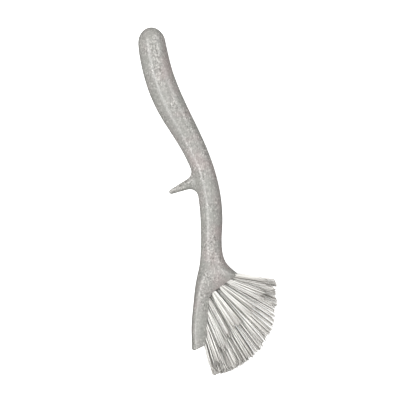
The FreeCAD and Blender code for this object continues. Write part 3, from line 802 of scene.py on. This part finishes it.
    def inputs_at(self, place: TuftPlace, finish: Material) -> dict[str, object]:
        """Gathers the tree's inputs for one tuft.

        Args:
            place: The tuft's place.
            finish: The filaments' material.

        Returns:
            The inputs by name, with lengths in metres.
        """
        flank = place.kind is Row.FLANK
        length = self.flank_length if flank else self.inner_length
        fan = place.turn + (self.flank_fan if flank else self.inner_fan)
        if place.number in (1, self.rows):
            fan = self.edge_fan
        radius = self.trim_radius + (self.heel_reach[place.kind] if place.number == 1 else 0.0)
        seed = self.seeds_per_column * COLUMNS.index(place.letter) + place.number
        return {"Filaments": self.filaments, "Root Point": place.root, "Direction": place.direction,
                "Across": place.across, "Root Radius": self.root_radius * MM, "Strand": self.strand,
                "Root Depth": self.root_depth * MM, "Belly": self.belly * MM, "Fan": fan,
                "Flare": self.flare, "Stray": self.stray, "Clump": self.clump * MM,
                "Bow": self.bow * MM, "Length": length * MM, "Ragged": self.ragged[place.kind] * MM,
                "Filament Diameter": self.filament_diameter * MM,
                "Trim Centre": (Vector(self.trim_centre) + self.face.shift) * MM,
                "Trim Radii": Vector((radius, radius, self.trim_crown)) * MM, "Seed": seed,
                "Finish": finish}

    def build(self, finish: Material) -> list[Object]:
        """Builds every tuft as a plain mesh in its own object.

        Args:
            finish: The filaments' material.

        Returns:
            The tufts, each riding on the body and standing for its node.
        """
        tree = self.tree()
        sockets = {item.name: item.identifier for item in tree.interface.items_tree
                   if item.in_out == "INPUT"}
        made = []
        for place in self.places():
            name = f"bristles_{place.letter}{place.number}"
            piece = bpy.data.objects.new(name, bpy.data.meshes.new(name))
            bpy.context.scene.collection.objects.link(piece)
            modifier = piece.modifiers.new("tuft", "NODES")
            modifier.node_group = tree
            for label, value in self.inputs_at(place, finish).items():
                modifier[sockets[label]] = value
            made.append((piece, f"bristle_tuft_{place.letter}{place.number}"))
        graph = bpy.context.evaluated_depsgraph_get()
        meshes = [bpy.data.meshes.new_from_object(piece.evaluated_get(graph), depsgraph=graph)
                  for piece, node in made]
        for (piece, node), mesh in zip(made, meshes):
            mesh.name = piece.name
            piece.modifiers.clear()
            piece.data = mesh
            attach(piece, BODY)
            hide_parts(node)
        return [piece for piece, node in made]


@dataclass
class Handle:
    """The one-piece moulded handle, with its rim hook and flared head."""

    node: str = "handle"
    merge_mm: float = 0.001
    crease_degrees: float = 24.0

    def build(self, source: Object, finish: Material) -> Object:
        """Makes a smooth copy of the handle's solid.

        Args:
            source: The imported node.
            finish: The handle's material.

        Returns:
            The dressed handle, standing for its node.
        """
        mesh = bpy.data.meshes.new("moulded_handle")
        work = bmesh.new()
        work.from_mesh(source.data)
        bmesh.ops.remove_doubles(work, verts=work.verts, dist=self.merge_mm * MM)
        work.to_mesh(mesh)
        work.free()
        mesh.materials.clear()
        mesh.materials.append(finish)
        mesh.shade_smooth()
        mesh.set_sharp_from_angle(angle=math.radians(self.crease_degrees))
        piece = bpy.data.objects.new("moulded_handle", mesh)
        bpy.context.scene.collection.objects.link(piece)
        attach(piece, BODY)
        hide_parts(self.node)
        return piece


@dataclass
class Anchors:
    """The flat wires that hold the tufts in their holes."""

    prefix: str = "tuft_anchors"

    def dress(self, nodes: dict[str, Object], finish: Material) -> list[Object]:
        """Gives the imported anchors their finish.

        Args:
            nodes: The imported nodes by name.
            finish: The wire's material.

        Returns:
            The dressed nodes.
        """
        dressed = [nodes[f"{self.prefix}_{letter}"] for letter in COLUMNS]
        for node in dressed:
            node.data.materials.clear()
            node.data.materials.append(finish)
        return dressed


@dataclass(frozen=True)
class SoftLight:
    """One rectangular studio light: its middle and sides in metres, its power in watts."""

    name: str
    place: tuple[float, float, float]
    sides: tuple[float, float]
    power: float

    def hang(self) -> None:
        """Hangs the light, aimed at the brush."""
        data = bpy.data.lights.new(self.name, "AREA")
        data.shape = "RECTANGLE"
        data.size, data.size_y = self.sides
        data.energy = self.power
        light = bpy.data.objects.new(self.name, data)
        bpy.context.scene.collection.objects.link(light)
        light.location = self.place
        light.rotation_euler = (-Vector(self.place)).to_track_quat("-Z", "Y").to_euler()


@dataclass
class Studio:
    """The pale floor, the soft lights and the camera that looks straight down on the brush.

    The floor's side and the clip distances are in metres.
    """

    lights: tuple[SoftLight, ...] = (
        SoftLight("key", place=(-1.05, 0.0, 1.34), sides=(1.8, 0.3), power=25.5),
        SoftLight("top", place=(0.15, 0.15, 1.8), sides=(0.8, 0.8), power=6.0),
        SoftLight("fill", place=(1.0, 0.9, 0.75), sides=(0.9, 0.6), power=10.5))
    room_colour: tuple[float, float, float, float] = (0.95, 0.95, 0.94, 1.0)
    room_strength: float = 0.38
    picture_mm: float = 288.6
    middle_mm: tuple[float, float] = (-8.297, 37.518)
    focal_mm: float = 150.0
    sensor_mm: float = 36.0
    nearest: float = 0.05
    farthest: float = 50.0
    floor_side: float = 8.0
    floor_drop_mm: float = 0.2

    def build(self, shift: Vector, floor_finish: Material) -> None:
        """Builds the stage.

        Args:
            shift: The step from the drawing to the frame, in millimetres.
            floor_finish: The floor's material.
        """
        self.lay_floor(floor_finish)
        for light in self.lights:
            light.hang()
        self.light_room()
        self.set_camera(shift)
        bpy.context.scene.view_settings.view_transform = "Standard"

    def lay_floor(self, finish: Material) -> None:
        """Lays the floor just under the brush.

        Args:
            finish: The floor's material.
        """
        half = self.floor_side / 2
        level = -self.floor_drop_mm * MM
        mesh = bpy.data.meshes.new("floor")
        corners = [(-half, -half), (half, -half), (half, half), (-half, half)]
        mesh.from_pydata([(x, y, level) for x, y in corners], [], [(0, 1, 2, 3)])
        mesh.materials.append(finish)
        floor = bpy.data.objects.new("floor", mesh)
        bpy.context.scene.collection.objects.link(floor)
        floor.visible_diffuse = False
        floor.visible_glossy = False

    def light_room(self) -> None:
        """Lights the room evenly; its reflection is left out, so that the plastic's edges stay dark."""
        world = bpy.data.worlds.new("studio")
        world.use_nodes = True
        back = world.node_tree.nodes["Background"]
        back.inputs["Color"].default_value = self.room_colour
        back.inputs["Strength"].default_value = self.room_strength
        world.cycles_visibility.glossy = False
        bpy.context.scene.world = world

    def set_camera(self, shift: Vector) -> None:
        """Sets the camera over the brush, far enough to frame the whole picture.

        Args:
            shift: The step from the drawing to the frame, in millimetres.
        """
        data = bpy.data.cameras.new("camera")
        data.lens = self.focal_mm
        data.sensor_width = self.sensor_mm
        data.clip_start = self.nearest
        data.clip_end = self.farthest
        camera = bpy.data.objects.new("camera", data)
        bpy.context.scene.collection.objects.link(camera)
        height = self.picture_mm * self.focal_mm / self.sensor_mm
        middle = Vector((self.middle_mm[0], self.middle_mm[1], 0.0)) + shift
        camera.location = (middle + UP * height) * MM
        bpy.context.scene.camera = camera


def main() -> None:
    """Builds the brush's pieces in order, then the stage."""
    logging.basicConfig(level=logging.INFO, format="%(name)s: %(message)s")
    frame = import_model()
    face = BristleFace()
    handle = Handle().build(frame["nodes"]["handle"], SpeckledComposite().build())
    LOG.info("%s: %d faces", handle.name, len(handle.data.polygons))
    for piece in Tufts(face).build(NylonFilament().build()):
        LOG.info("%s: %d faces", piece.name, len(piece.data.polygons))
    for piece in Anchors().dress(frame["nodes"], DrawnSteel().build()):
        LOG.info("%s: %d faces", piece.name, len(piece.data.polygons))
    Studio().build(face.shift, PaleFloor().build())


if __name__ == "__main__":
    main()
